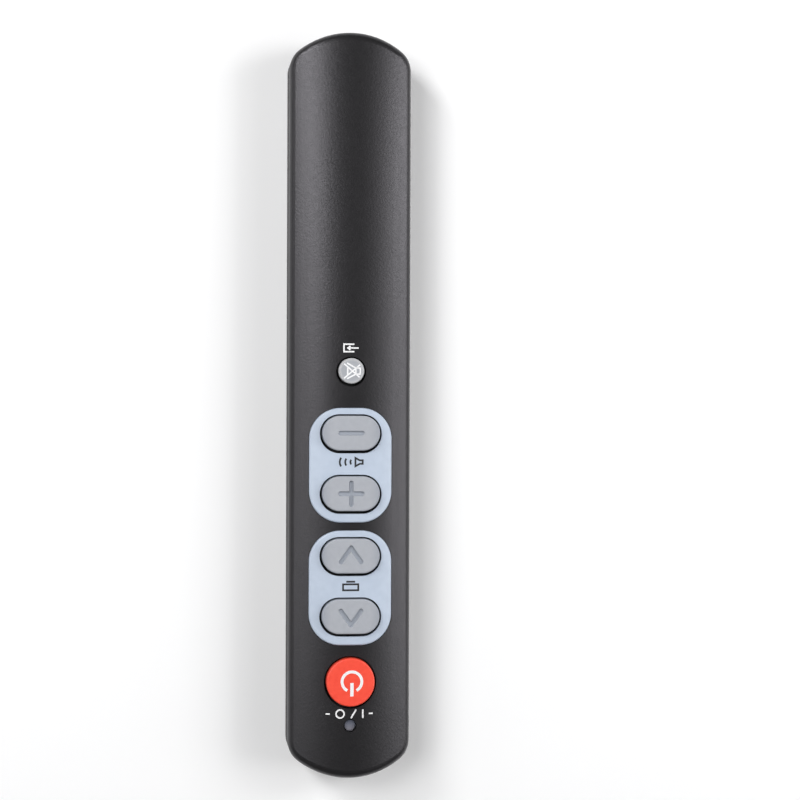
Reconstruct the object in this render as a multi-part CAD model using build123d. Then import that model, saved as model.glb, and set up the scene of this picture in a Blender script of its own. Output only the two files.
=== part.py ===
from build123d import *
from math import atan2, cos, degrees, pi, sin, sqrt
import os

# A slim hand-held remote control with six large rubber keys. It lies on its back.
# The origin is under the middle of the case, on the surface that it lies on.
# +X runs across the case, +Y towards the end that sends the light, +Z up through the keys.
# All sizes are millimetres.

# The closed case. Its length, width and height are worked out below, round what it holds:
# they come to 172, 28.2 and 16.
crown_rise = 3.0  # from the long edges of the top face up to its middle line
end_radius = 20.2  # arc of both ends, seen from above
corner_radius = 5.5
top_edge_radius = 2.0
bottom_edge_radius = 3.0
parting_height = 7.0
parting_bevel = 0.2
wall = 1.5
tail_room = 8.9  # from the bay's end wall to the outside of the tail
roof_room = 1.1  # between the flat top of the bay and the crown's inside
overrun = 1.0  # how far a cut reaches past the face that it opens

# The lip of the lower case, inside the wall of the upper one, and the snap hooks.
lip_height = 1.0
lip_thickness = 0.7
lip_clearance = 0.1
snap_from_cover = 14.0  # from the seam of the cover to the first pair of hooks
snap_from_front = 20.0  # from the front end to the last pair
snap_count = 3
snap_width = 5.0
snap_thickness = 1.0
snap_gap = 0.2  # between the arm and the wall of the lower case
snap_drop = 2.4  # how far the arms reach below the parting line
snap_root_height = 2.4
catch_reach = 0.5
catch_height = 0.8
catch_clearance = 0.15

# The two cells, side by side, and the bay that holds them.
cell_diameter = 10.3
cell_length = 44.5
cell_nub_diameter = 3.8
cell_nub_height = 0.8
cell_edge_radius = 0.4
cell_gap = 0.3
bay_wall = 0.8
bay_end_wall = 1.2
bay_roof = 1.0
bay_case_gap = 0.3  # between the bay and the upper case
bay_floor_gap = 0.3  # between the cover and what lies above it
bay_to_board = 9.2  # from the front of the cells' room to the board

# The cover of the bay: its seam, and the rail that it slides on.
cover_overlap = 6.0  # how far the cover reaches past the bay, under the front ledge
seam_gap = 0.15
rail_thickness = 0.8
rail_reach = 0.65
rail_clearance = 0.2
rail_wall_gap = 0.4
rail_end_gap = 4.0
grip_length = 12.0
grip_width = 15.0
grip_depth = 0.6
grip_from_seam = 10.0
ridge_count = 5
ridge_width = 0.9
ridge_height = 0.45

# The ledges under the cover, with the two screws that close the case.
ledge_thickness = 2.8
ledge_overlap = 3.0
tail_ledge_width = 10.0
tail_ledge_length = 5.6
case_screw_setback = 3.3  # from the outside of the bay's end wall
case_screw_length = 8.0

# Screws, the same in the case and on the board.
screw_diameter = 2.0
screw_head_diameter = 3.6
screw_head_height = 1.2
screw_slot_width = 0.6
screw_slot_depth = 0.6
screw_clearance = 0.05
screw_hole_clearance = 0.2
screw_tip_room = 0.3
boss_radius = 2.1

# The circuit board.
board_thickness = 1.2
board_snap_gap = 0.3
board_tail_room = 5.25  # from the keypad's sheet to the tail end of the board
board_corner_radius = 1.0
board_screw_inset = 2.0
board_screw_setback = 3.1
board_screw_length = 3.8
post_radius = 1.1
post_inset = 1.7
post_from_tail = 16.0
post_from_front = 23.5
post_gap = 0.2

# The rubber keypad: base sheet, keys, the thin webs that spring them, the carbon pills.
mat_thickness = 0.8
mat_inset = 0.5  # from the long edges of the board
mat_margin = 0.35  # past the webs of the first and last key
mat_corner_radius = 2.0
key_travel = 0.9
key_wall_gap = 0.5  # around each key, in its hole
keypad_shift = 0.15  # the keypad lies this much nearer to the tail than the middle of its holes
flange_roof_gap = 0.35
flange_thickness = 0.9
flange_reach = 1.1
web_height = 1.2
web_spread = 0.6
web_thickness = 0.4
key_edge_radius = 0.35
key_crown_radius = 60.0
plunger_margin = 0.4  # of the plunger round its pill
pill_diameter = 4.4
pill_height = 0.35
press_gap = 0.05  # left between a pill and its pads when the key is pressed home
mat_hole_clearance = 0.5

# The long keys of the volume and channel pairs.
long_key_length = 13.3
long_key_width = 8.0
long_key_proud = 1.3
pair_gap = 5.9  # between the two keys of a pair
pair_shift = 0.3  # each pair lies this much nearer to the tail than the middle of its plate
mark_width = 1.0
mark_depth = 0.5
mark_length = 6.0
mark_floor_radius = 0.3
mark_rim_radius = 0.12
chevron_width = 4.6
chevron_height = 3.25
chevron_shift = 0.3  # of each arrow towards its tip, from the middle of the key

# The round keys.
power_key_diameter = 11.1
power_key_proud = 1.4
power_to_lens = 10.0  # from the middle of the key to that of the small light
mute_key_diameter = 5.9
mute_key_proud = 0.9
mute_pill_diameter = 2.6

# The pale plates around the two pairs of long keys.
plate_side_margin = 2.9  # from the ends of the long keys to the long edges of the plate
plate_end_margin = 2.25  # from the long keys to the ends of the plate
plate_corner_radius = 7.2
plate_recess = 0.8
plate_proud = 0.3
plate_bevel = 0.45
plate_clearance = 0.12
plate_backing = 0.5
plate_gap = 1.8
plate_to_power = 2.95  # from the edge of the plate to the edge of the key
plate_to_mute = 5.4

# The light at the front, and the lamp that shines through it.
lens_setback = 3.8  # from the front end of the board
lens_diameter = 2.7
lens_hole_diameter = 3.0
lens_sunk = 0.9
lens_flange_diameter = 4.0
lens_flange_height = 0.9
lens_edge_radius = 0.3
lens_seat_gap = 0.05
lens_lamp_gap = 0.5
lamp_length = 2.0
lamp_width = 1.25
lamp_height = 0.8

# The infrared diode in the front end.
diode_diameter = 5.0
diode_rim_diameter = 5.8
diode_rim_height = 1.0
diode_sunk = 0.3
diode_length = 7.5
diode_board_gap = 0.7
diode_hole_clearance = 0.15
diode_lead = 0.5
diode_lead_pitch = 2.54
diode_lead_reach = 2.0
diode_lead_proud = 0.5
lead_hole_diameter = 0.9

# Contact pads on top of the board.
pad_thickness = 0.05
pad_size = 4.2
finger_width = 0.5
finger_gap = 0.35
finger_count = 3

# Parts soldered under the board, each placed from the board's front end.
chip_length = 12.8
chip_width = 7.5
chip_height = 2.3
chip_from_front = 57.5
chip_pins_per_side = 10
memory_length = 4.9
memory_width = 3.9
memory_height = 1.5
memory_from_front = 41.5
memory_pins_per_side = 4
pin_pitch = 1.27
pin_width = 0.4
pin_reach = 1.2
pin_thickness = 0.25
chip_standoff = 0.1
resonator_length = 7.4
resonator_width = 2.6
resonator_height = 3.4
resonator_leg = 0.5
resonator_from_front = 71.5
capacitor_diameter = 5.0
capacitor_length = 7.0
capacitor_from_front = 29.5
capacitor_gap = 0.2
capacitor_crimp = 0.35
capacitor_lead = 0.5
capacitor_lead_pitch = 2.0
capacitor_lead_reach = 1.2
transistor_length = 2.9
transistor_width = 1.3
transistor_height = 1.0
transistor_from_front = 10.5
transistor_pin_width = 0.4
transistor_pin_reach = 0.6
resistor_length = 2.0
resistor_width = 1.25
resistor_height = 0.5
resistor_x = 6.5
resistor_from_front = 21.5
resistor_pitch = 3.2
resistor_count = 4

# The metal contacts at the ends of the cells.
contact_thickness = 0.3
contact_width = 8.0
contact_drop = 4.0  # from the axis of a cell to the lower edge
contact_margin = 0.85  # above the strap
dimple_diameter = 4.2
dimple_height = 0.5
strap_width = 2.4
contact_gap = 0.15
strap_solder_length = 2.2
spring_wire = 0.5
spring_length = 3.1
spring_turns = 3
spring_base_radius = 3.2
spring_tip_radius = 1.8

# The width and height of the case, round the cells.
cell_radius = cell_diameter / 2
cell_x = cell_radius + cell_gap / 2
cell_z = wall + bay_floor_gap + cell_radius
bay_half_width = cell_x + cell_radius + cell_gap + bay_wall
bay_low = wall + bay_floor_gap
bay_top = cell_z + cell_radius + cell_gap + bay_roof
half_width = bay_half_width + rail_reach + rail_wall_gap + wall
case_width = 2 * half_width
case_height = bay_top + roof_room + wall
arch_radius = (half_width**2 + crown_rise**2) / (2 * crown_rise)
arch_centre_z = case_height - arch_radius

# The length of the case, along the keys, the board and the cells.
pair_pitch = long_key_width + pair_gap
plate_width = long_key_length + 2 * plate_side_margin
plate_length = pair_pitch + long_key_width + 2 * plate_end_margin
mat_reach = flange_reach + web_spread + mat_margin
keys_length = power_key_diameter / 2 + plate_to_power + 2 * plate_length + plate_gap
keys_length += plate_to_mute + mute_key_diameter
board_length = lens_setback + power_to_lens + keys_length + mat_reach + board_tail_room
bay_length = cell_length + dimple_height + spring_length + 2 * contact_thickness
front_room = diode_sunk + diode_length + diode_board_gap
case_length = front_room + board_length + bay_to_board + bay_length + bay_end_wall + tail_room
half_length = case_length / 2

# Places along the case, from the front end to the tail.
diode_back_y = half_length - diode_sunk - diode_length
lead_y = diode_back_y - diode_lead_reach + diode_lead / 2
board_front_y = half_length - front_room
lens_y = board_front_y - lens_setback
power_key_y = lens_y - power_to_lens
channel_plate_y = power_key_y - power_key_diameter / 2 - plate_to_power - plate_length / 2
volume_plate_y = channel_plate_y - plate_length - plate_gap
mute_key_y = volume_plate_y - plate_length / 2 - plate_to_mute - mute_key_diameter / 2
mat_front_y = power_key_y + power_key_diameter / 2 + mat_reach
mat_tail_y = mute_key_y - mute_key_diameter / 2 - mat_reach
board_tail_y = board_front_y - board_length
bay_front_y = board_tail_y - bay_to_board
bay_tail_y = bay_front_y - bay_length
cover_front_y = bay_front_y + bay_end_wall + cover_overlap
front_screw_y = bay_front_y + bay_end_wall + case_screw_setback
tail_screw_y = bay_tail_y - bay_end_wall - case_screw_setback

# Heights inside the case, from the roof down to the board.
flange_end_x = long_key_length / 2 + flange_reach
roof_radius = arch_radius - wall - plate_backing
flange_top = arch_centre_z + sqrt(roof_radius**2 - flange_end_x**2) - flange_roof_gap
flange_bottom = flange_top - flange_thickness
mat_top = flange_bottom - web_height
board_top = mat_top - mat_thickness
board_bottom = board_top - board_thickness
pill_low = board_top + pad_thickness + press_gap + key_travel
pill_high = pill_low + pill_height
contact_low = cell_z - contact_drop
contact_high = board_top + contact_thickness + contact_margin
long_key_top = case_height + long_key_proud
diode_z = parting_height
snap_low = parting_height - snap_drop
rail_low = bottom_edge_radius

# Places across the case, from the snap hooks in to the board.
board_half_width = half_width - wall - snap_gap - snap_thickness - board_snap_gap
board_width = 2 * board_half_width
mat_width = board_width - 2 * mat_inset
board_screw_x = board_half_width - board_screw_inset
post_x = board_half_width - post_inset


def between(low, high):
    """A block from its lowest corner to its highest."""
    middle = (Vector(*low) + Vector(*high)) / 2
    size = Vector(*high) - Vector(*low)
    return Pos(middle) * Box(size.X, size.Y, size.Z)


def both_sides(shape):
    """A shape and its mirror image on the other side of the middle plane."""
    return shape + mirror(shape, about=Plane.YZ)


def slab(outline, low, high):
    """A flat outline, raised from one height to another."""
    return extrude(Pos(0, 0, low) * outline, high - low)


def rod(x, y, radius, low, high):
    """An upright cylinder."""
    return slab(Pos(x, y) * Circle(radius), low, high)


def plan(inset):
    """The case seen from above, drawn in by the inset: straight sides and two arched ends."""
    radius = end_radius - inset
    centre_y = half_length - end_radius
    width = case_width - 2 * inset
    outline = Rectangle(width, 2 * centre_y)
    for end_y in (-centre_y, centre_y):
        outline += Pos(0, end_y) * Circle(radius)
    outline &= Rectangle(width, case_length)
    corners = outline.vertices().group_by(Axis.Y)
    return fillet(corners[0] + corners[-1], corner_radius - inset)


def under_arch(drop):
    """Everything below the arched top face, once that face is lowered by the drop."""
    reach = case_length + 2 * overrun
    return Pos(0, 0, arch_centre_z) * Cylinder(arch_radius - drop, reach, rotation=(90, 0, 0))


def closed_case():
    """The whole outside of the case."""
    body = slab(plan(0), 0, case_height) & under_arch(0)
    body = fillet(body.faces().sort_by(Axis.Z)[-1].edges(), top_edge_radius)
    return fillet(body.faces().sort_by(Axis.Z)[0].edges(), bottom_edge_radius)


def hollow_of_case():
    """The room inside the case, with one wall thickness left all round."""
    room = slab(plan(wall), wall, case_height) & under_arch(wall)
    return fillet(room.faces().sort_by(Axis.Z)[0].edges(), bottom_edge_radius - wall)


def layer_of_case(body, low, high, tail_y, front_y):
    """The part of a body between two heights and two places along the case."""
    return body & between((-case_width, tail_y, low), (case_width, front_y, high))


def stadium(length, width):
    """A long outline with round ends, across the case."""
    return SlotOverall(length, width)


def plate_outline(grown):
    """A plate seen from above, drawn out on every side."""
    return RectangleRounded(
        plate_width + 2 * grown, plate_length + 2 * grown, plate_corner_radius + grown
    )


def hole_table():
    """Name, outline, top height and mark of each key, after the place of its hole."""
    long_key = stadium(long_key_length, long_key_width)
    mute_key = Circle(mute_key_diameter / 2)
    power_key = Circle(power_key_diameter / 2)
    near = pair_pitch / 2 + pair_shift
    far = pair_pitch / 2 - pair_shift
    return [
        ("av_mute_key", mute_key_y, mute_key, case_height + mute_key_proud, None),
        ("volume_down_key", volume_plate_y - near, long_key, long_key_top, "minus"),
        ("volume_up_key", volume_plate_y + far, long_key, long_key_top, "plus"),
        ("channel_down_key", channel_plate_y - near, long_key, long_key_top, "down"),
        ("channel_up_key", channel_plate_y + far, long_key, long_key_top, "up"),
        ("power_key", power_key_y, power_key, case_height + power_key_proud, None),
    ]


def key_table():
    """The same with the place of the key itself."""
    return [(name, y - keypad_shift, *rest) for name, y, *rest in hole_table()]


def grown(outline, by):
    """A key's outline, drawn out or in."""
    return offset(outline, by)


# Casings

def upper_case():
    """The arched top shell, with the holes for keys and lens, bosses and snap hooks."""
    shell = layer_of_case(closed_case(), parting_height, case_height, -case_length, case_length)
    rim = shell.faces().sort_by(Axis.Z)[0].edges()
    shell = chamfer(rim, parting_bevel)
    shell -= hollow_of_case()
    shell += plate_backings()
    shell += upper_bosses()
    shell -= lip_groove()
    shell += snap_hooks()
    for plate_y in (volume_plate_y, channel_plate_y):
        recess = slab(Pos(0, plate_y) * plate_outline(plate_clearance), parting_height, case_height)
        shell -= recess - under_arch(plate_recess)
    for name, y, outline, top, mark in hole_table():
        shell -= slab(Pos(0, y) * grown(outline, key_wall_gap), flange_bottom, case_height)
    shell -= rod(0, lens_y, lens_hole_diameter / 2, board_top, case_height)
    shell -= screw_pilots()
    return shell - diode_hole()


def plate_backings():
    """Thicker stretches of the roof behind the two plates."""
    backings = []
    for plate_y in (volume_plate_y, channel_plate_y):
        pad = slab(Pos(0, plate_y) * plate_outline(0), parting_height, case_height)
        backings.append(pad & (under_arch(wall / 2) - under_arch(wall + plate_backing)))
    return backings


def board_screw_places():
    """Where the four screws of the board are."""
    ends = (board_tail_y + board_screw_setback, board_front_y - board_screw_setback)
    return [(x, y) for x in (-board_screw_x, board_screw_x) for y in ends]


def upper_bosses():
    """Bosses that hang from the roof, for the screws of the case and of the board."""
    ledge_top = bay_low + ledge_thickness
    bosses = [rod(0, front_screw_y, boss_radius, ledge_top, case_height)]
    bosses.append(rod(0, tail_screw_y, boss_radius, ledge_top, case_height))
    for x, y in board_screw_places():
        bosses.append(rod(x, y, boss_radius, board_top, case_height))
    return [boss & under_arch(wall / 2) for boss in bosses]


def screw_pilots():
    """The holes in the bosses that the screws bite into."""
    radius = screw_diameter / 2 + screw_clearance
    pilots = []
    for y in (front_screw_y, tail_screw_y):
        top = bay_low + screw_head_height + case_screw_length + screw_tip_room
        pilots.append(rod(0, y, radius, bay_low, top))
    for x, y in board_screw_places():
        top = board_bottom + board_screw_length + screw_tip_room
        pilots.append(rod(x, y, radius, board_bottom, top))
    return pilots


def lip_groove():
    """The step inside the rim of the upper case that the lower one's lip goes into."""
    inset = wall - lip_thickness - lip_clearance
    groove = slab(plan(inset), parting_height, parting_height + lip_height + lip_clearance)
    return layer_of_case(groove, 0, case_height, cover_front_y - lip_clearance, case_length)


def snap_places():
    """Where the snap hooks are along the case."""
    first_y = cover_front_y + snap_from_cover
    pitch = (half_length - snap_from_front - first_y) / (snap_count - 1)
    return [first_y + index * pitch for index in range(snap_count)]


def snap_hooks():
    """Arms inside both side walls, with a catch that faces outwards."""
    inner_wall = half_width - wall
    arm_outside = inner_wall - snap_gap
    arm_inside = arm_outside - snap_thickness
    groove_top = parting_height + lip_height + lip_clearance
    arm_top = groove_top + snap_root_height
    hooks = []
    for y in snap_places():
        tail, front = y - snap_width / 2, y + snap_width / 2
        arm = between((arm_inside, tail, snap_low), (arm_outside, front, arm_top))
        arm += between((arm_inside, tail, groove_top), (inner_wall + snap_gap, front, arm_top))
        catch_high = snap_low + catch_height
        reach = inner_wall + catch_reach
        arm += between((arm_inside, tail, snap_low), (reach, front, catch_high))
        hooks.append(arm)
        hooks.append(mirror(arm, about=Plane.YZ))
    return hooks


def snap_pockets():
    """The pockets in the walls of the lower case that the catches sit in."""
    inner_wall = half_width - wall
    reach = inner_wall + catch_reach + catch_clearance
    pockets = []
    for y in snap_places():
        half = snap_width / 2 + catch_clearance
        low = (inner_wall - overrun, y - half, snap_low - catch_clearance)
        high = (reach, y + half, snap_low + catch_height + catch_clearance)
        pocket = between(low, high)
        pockets.append(pocket)
        pockets.append(mirror(pocket, about=Plane.YZ))
    return pockets


def diode_hole():
    """The round hole in the front end, half in each case."""
    radius = diode_diameter / 2 + diode_hole_clearance
    depth = 2 * wall + overrun
    return Pos(0, half_length, diode_z) * Cylinder(radius, depth, rotation=(90, 0, 0))


def lower_case():
    """The front bottom shell, with the bay for the cells behind it, all one moulding."""
    shell = layer_of_case(closed_case(), 0, parting_height, cover_front_y, case_length)
    rim = shell.faces().sort_by(Axis.Z)[-1].edges().filter_by(Axis.X, reverse=True)
    shell = chamfer(rim, parting_bevel)
    shell -= hollow_of_case()
    shell += lower_lip()
    shell -= snap_pockets()
    shell += front_ledge()
    shell += battery_bay()
    shell += tail_ledge()
    shell += board_posts()
    for y in (front_screw_y, tail_screw_y):
        head_top = bay_low + screw_head_height
        head_radius = screw_head_diameter / 2 + screw_hole_clearance
        shell -= rod(0, y, head_radius, bay_low - overrun, head_top)
        radius = screw_diameter / 2 + screw_hole_clearance
        shell -= rod(0, y, radius, bay_low, parting_height)
    return shell - diode_hole()


def lower_lip():
    """The thin lip that stands up from the rim, inside the wall of the upper case."""
    ring = plan(wall - lip_thickness) - plan(wall)
    lip = slab(ring, parting_height - wall, parting_height + lip_height)
    return layer_of_case(lip, 0, case_height, cover_front_y, case_length)


def front_ledge():
    """A thick ledge over the front edge of the cover; it joins the bay to the shell."""
    outside = half_width - wall
    floor_end = cover_front_y + ledge_overlap
    ledge_top = bay_low + ledge_thickness
    ledge = between(
        (-bay_half_width, bay_front_y, bay_low), (bay_half_width, floor_end, ledge_top)
    )
    ledge += between((-outside, cover_front_y, wall / 2), (outside, floor_end, ledge_top))
    return ledge & closed_case()


def battery_bay():
    """An upside-down tray over the two cells, scalloped to their round sides."""
    tail_outside = bay_tail_y - bay_end_wall
    front_outside = bay_front_y + bay_end_wall
    bay = between(
        (-bay_half_width, tail_outside, bay_low), (bay_half_width, front_outside, bay_top)
    )
    bay &= under_arch(wall + bay_case_gap)
    bay -= bay_room()
    bay -= contact_pockets()
    bay += both_sides(cover_rail())
    for side in (-1, 1):
        bay -= strap_slot(side * cell_x)
    return bay


def bay_room():
    """The room for the cells: two round troughs, open below."""
    radius = cell_radius + cell_gap
    middle_y = bay_front_y - bay_length / 2
    half_room = bay_half_width - bay_wall
    room = between((-half_room, bay_tail_y, 0), (half_room, bay_front_y, cell_z))
    for side in (-1, 1):
        trough = Cylinder(radius, bay_length, rotation=(90, 0, 0))
        room += Pos(side * cell_x, middle_y, cell_z) * trough
    return room


def contact_pockets():
    """Shallow square pockets in the end walls' corners, which hold the contact plates."""
    reach = contact_thickness + contact_gap
    narrow = contact_width / 2 + contact_gap
    low_z, high_z = contact_low - contact_gap, contact_high + contact_gap
    pockets = []
    for x in (-cell_x, cell_x):
        low = (x - narrow, bay_front_y - reach, low_z)
        pockets.append(between(low, (x + narrow, bay_front_y, high_z)))
    wide = cell_x + narrow
    low = (-wide, bay_tail_y, low_z)
    pockets.append(between(low, (wide, bay_tail_y + reach, high_z)))
    return pockets


def cover_rail():
    """A rail along the outside of the bay that the ribs of the cover hook over."""
    tail = bay_tail_y + rail_end_gap
    low = (bay_half_width - bay_wall, tail, rail_low)
    high = (bay_half_width + rail_reach, bay_front_y, rail_low + rail_thickness)
    return between(low, high)


def strap_slot(x):
    """The slot in the front wall of the bay that a contact's strap passes through."""
    half = strap_width / 2 + contact_gap
    low = (x - half, bay_front_y - overrun, board_top - contact_gap)
    high = (x + half, bay_front_y + bay_end_wall + overrun, board_top + contact_thickness + contact_gap)
    return between(low, high)


def tail_ledge():
    """A lug behind the bay for the second screw of the case."""
    tail_outside = bay_tail_y - bay_end_wall
    half = tail_ledge_width / 2
    low = (-half, tail_outside - tail_ledge_length, bay_low)
    high = (half, tail_outside + bay_end_wall / 2, bay_low + ledge_thickness)
    return between(low, high)


def board_posts():
    """Four posts on the floor, just under the board."""
    posts = []
    for y in (board_tail_y + post_from_tail, board_front_y - post_from_front):
        for x in (-post_x, post_x):
            posts.append(rod(x, y, post_radius, wall / 2, board_bottom - post_gap))
    return posts


def battery_cover():
    """The bottom of the tail, which slides straight off backwards."""
    top = parting_height - seam_gap
    shell = layer_of_case(closed_case(), 0, top, -case_length, cover_front_y - seam_gap)
    rim = shell.faces().sort_by(Axis.Z)[-1].edges().filter_by(Axis.X, reverse=True)
    shell = chamfer(rim, parting_bevel)
    shell -= hollow_of_case()
    shell += both_sides(cover_rib())
    return shell - grip_recess()


def cover_rib():
    """A rib inside the side wall, above the rail of the bay."""
    low_z = rail_low + rail_thickness + rail_clearance
    low = (bay_half_width + rail_clearance, bay_tail_y + rail_end_gap, low_z)
    high = (half_width - wall / 2, bay_front_y, low_z + rail_thickness)
    return between(low, high)


def grip_recess():
    """A shallow thumb rest under the cover, with ridges left across it."""
    grip_y = cover_front_y - grip_from_seam
    outline = RectangleRounded(grip_width, grip_length, grip_length / 3)
    recess = slab(Pos(0, grip_y) * outline, -overrun, grip_depth)
    step = grip_length / (ridge_count + 1)
    for index in range(ridge_count):
        y = grip_y - grip_length / 2 + (index + 1) * step
        low = (-grip_width, y - ridge_width / 2, grip_depth - ridge_height)
        high = (grip_width, y + ridge_width / 2, grip_depth + overrun)
        recess -= between(low, high)
    return recess


def plate(y, names):
    """A pale plate let into the top, arched as the case is, with its two key holes."""
    body = slab(Pos(0, y) * plate_outline(0), parting_height, case_height + overrun)
    body &= under_arch(-plate_proud)
    body = fillet(body.faces().sort_by(Axis.Z)[-1].edges(), plate_bevel)
    body -= under_arch(plate_recess)
    for name, hole_y, outline, top, mark in hole_table():
        if name in names:
            hole = Pos(0, hole_y) * grown(outline, key_wall_gap)
            body -= slab(hole, parting_height, case_height + overrun)
    return body


# Keypad

def mark_cutter(mark, top):
    """The groove of a long key's sign: its ends are round, and so are the edges of its floor."""
    bar = stadium(mark_length, mark_width)
    if mark == "minus":
        sign = bar
    elif mark == "plus":
        sign = bar + Rot(0, 0, 90) * bar
    else:
        leg_length = sqrt(chevron_width**2 / 4 + chevron_height**2)
        slope = degrees(atan2(2 * chevron_height, chevron_width))
        leg = SlotCenterToCenter(leg_length, mark_width)
        sign = Pos(-chevron_width / 4, chevron_shift) * (Rot(0, 0, slope) * leg)
        sign += Pos(chevron_width / 4, chevron_shift) * (Rot(0, 0, -slope) * leg)
        if mark == "down":
            sign = Rot(0, 0, 180) * sign
    groove = slab(sign, top - mark_depth, top + overrun)
    return fillet(groove.faces().sort_by(Axis.Z)[0].edges(), mark_floor_radius)


def key(y, outline, top, mark, pill_width):
    """A rubber key: cap, flange under the case, and the plunger that carries the pill."""
    cap = slab(outline, flange_bottom, top)
    cap &= Pos(0, 0, top - key_crown_radius) * Cylinder(
        key_crown_radius, case_width, rotation=(90, 0, 0)
    )
    cap = fillet(cap.faces().sort_by(Axis.Z)[-1].edges(), key_edge_radius)
    cap += slab(grown(outline, flange_reach), flange_bottom, flange_top)
    cap += rod(0, 0, pill_width / 2 + plunger_margin, pill_high, flange_top)
    if mark:
        cap -= mark_cutter(mark, top)
        crown = cap.faces().sort_by(Axis.Z)[-1]
        cap = fillet(crown.inner_wires()[0].edges(), mark_rim_radius)
    return Pos(0, y, 0) * cap


def key_web(y, outline):
    """The thin slanting web between a key's flange and the sheet; it buckles under the key."""
    base = Pos(0, 0, mat_top) * grown(outline, flange_reach + web_spread)
    rim = Pos(0, 0, flange_bottom) * grown(outline, flange_reach)
    inner_base = Pos(0, 0, mat_top) * grown(outline, flange_reach + web_spread - web_thickness)
    inner_rim = Pos(0, 0, flange_bottom) * grown(outline, flange_reach - web_thickness)
    web = loft([base, rim], ruled=True) - loft([inner_base, inner_rim], ruled=True)
    return Pos(0, y, 0) * web


def carbon_pill(y, width):
    """The black disc under a key that closes its contact."""
    return rod(0, y, width / 2, pill_low, pill_high)


def pill_width_of(name):
    """The round mute key is small, so its pill is too."""
    return mute_pill_diameter if name == "av_mute_key" else pill_diameter


def keypad_mat():
    """The base sheet of the keypad, on the board, with a hole under each key."""
    outline = RectangleRounded(mat_width, mat_front_y - mat_tail_y, mat_corner_radius)
    sheet = slab(Pos(0, (mat_front_y + mat_tail_y) / 2) * outline, board_top, mat_top)
    for name, y, outline, top, mark in key_table():
        radius = pill_width_of(name) / 2 + plunger_margin + mat_hole_clearance
        sheet -= rod(0, y, radius, board_top - overrun, mat_top + overrun)
    return sheet


# Board

def circuit_board():
    """The board, screwed up against the bosses, with holes for screws and leads."""
    outline = RectangleRounded(board_width, board_length, board_corner_radius)
    middle_y = (board_front_y + board_tail_y) / 2
    board = slab(Pos(0, middle_y) * outline, board_bottom, board_top)
    for x, y in board_screw_places():
        radius = screw_diameter / 2 + screw_hole_clearance
        board -= rod(x, y, radius, board_bottom - overrun, board_top + overrun)
    for x in (-diode_lead_pitch / 2, diode_lead_pitch / 2):
        board -= rod(x, lead_y, lead_hole_diameter / 2, board_bottom - overrun, board_top + overrun)
    return board


def contact_pads():
    """Two combs of bare metal under each key; its pill bridges them."""
    pads = []
    for name, y, outline, top, mark in key_table():
        share = pill_width_of(name) / pill_diameter
        comb = contact_comb()
        pair = [comb, Rot(0, 0, 180) * comb]
        for half in pair:
            pads.append(Pos(0, y, board_top) * scale(half, by=(share, share, 1)))
    return Compound(pads)


def contact_comb():
    """One comb: a spine with fingers that reach between those of its twin."""
    pitch = 2 * (finger_width + finger_gap)
    half = pad_size / 2
    spine = between((-half, -half, 0), (-half + finger_width, half, pad_thickness))
    for index in range(finger_count):
        low_y = -half + index * pitch
        tip_x = half - finger_width - finger_gap
        spine += between((-half, low_y, 0), (tip_x, low_y + finger_width, pad_thickness))
    return spine


def chip(from_front, length, width, height, pins_per_side):
    """A flat black chip under the board, with a row of bent pins on both long sides."""
    y = board_front_y - from_front
    top = board_bottom - chip_standoff
    body = between((-width / 2, y - length / 2, top - height), (width / 2, y + length / 2, top))
    foot_top = board_bottom
    for index in range(pins_per_side):
        pin_y = y + (index - (pins_per_side - 1) / 2) * pin_pitch
        low_y, high_y = pin_y - pin_width / 2, pin_y + pin_width / 2
        middle = top - height / 2
        knee = width / 2 + pin_reach / 2
        arm = between((0, low_y, middle - pin_thickness), (knee, high_y, middle))
        arm += between((knee - pin_thickness, low_y, middle - pin_thickness), (knee, high_y, foot_top))
        foot_low = foot_top - pin_thickness
        arm += between((knee - pin_thickness, low_y, foot_low), (knee + pin_reach / 2, high_y, foot_top))
        body += both_sides(arm)
    return body


def ceramic_resonator():
    """A small upright block with three short legs, beside the chip."""
    half_x, half_y = resonator_length / 2, resonator_width / 2
    top = board_bottom - chip_standoff
    y = board_front_y - resonator_from_front
    block = between((-half_x, y - half_y, top - resonator_height), (half_x, y + half_y, top))
    block = fillet(block.edges().filter_by(Axis.Z), half_y / 2)
    for x in (-half_x / 2, 0, half_x / 2):
        block += rod(x, y, resonator_leg / 2, top - chip_standoff, board_bottom)
    return block


def electrolytic_capacitor():
    """A small can that lies under the board, with a crimp near its sealed end."""
    radius = capacitor_diameter / 2
    z = board_bottom - capacitor_gap - radius
    can = Cylinder(radius, capacitor_length, rotation=(0, 90, 0))
    can = fillet(can.edges(), capacitor_crimp)
    crimp_x = capacitor_length / 2 - radius / 2
    ring = Cylinder(radius + overrun, capacitor_crimp, rotation=(0, 90, 0))
    ring -= Cylinder(radius - capacitor_crimp, capacitor_length, rotation=(0, 90, 0))
    can -= Pos(crimp_x, 0, 0) * ring
    middle_y = board_front_y - capacitor_from_front
    can = Pos(0, middle_y, z) * can
    end_x = capacitor_length / 2
    half = capacitor_lead / 2
    for side in (-1, 1):
        y = middle_y + side * capacitor_lead_pitch / 2
        tip_x = end_x + capacitor_lead_reach
        can += between((end_x - overrun, y - half, z - half), (tip_x, y + half, z + half))
        can += between((tip_x - capacitor_lead, y - half, z - half), (tip_x, y + half, board_bottom))
    return can


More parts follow.
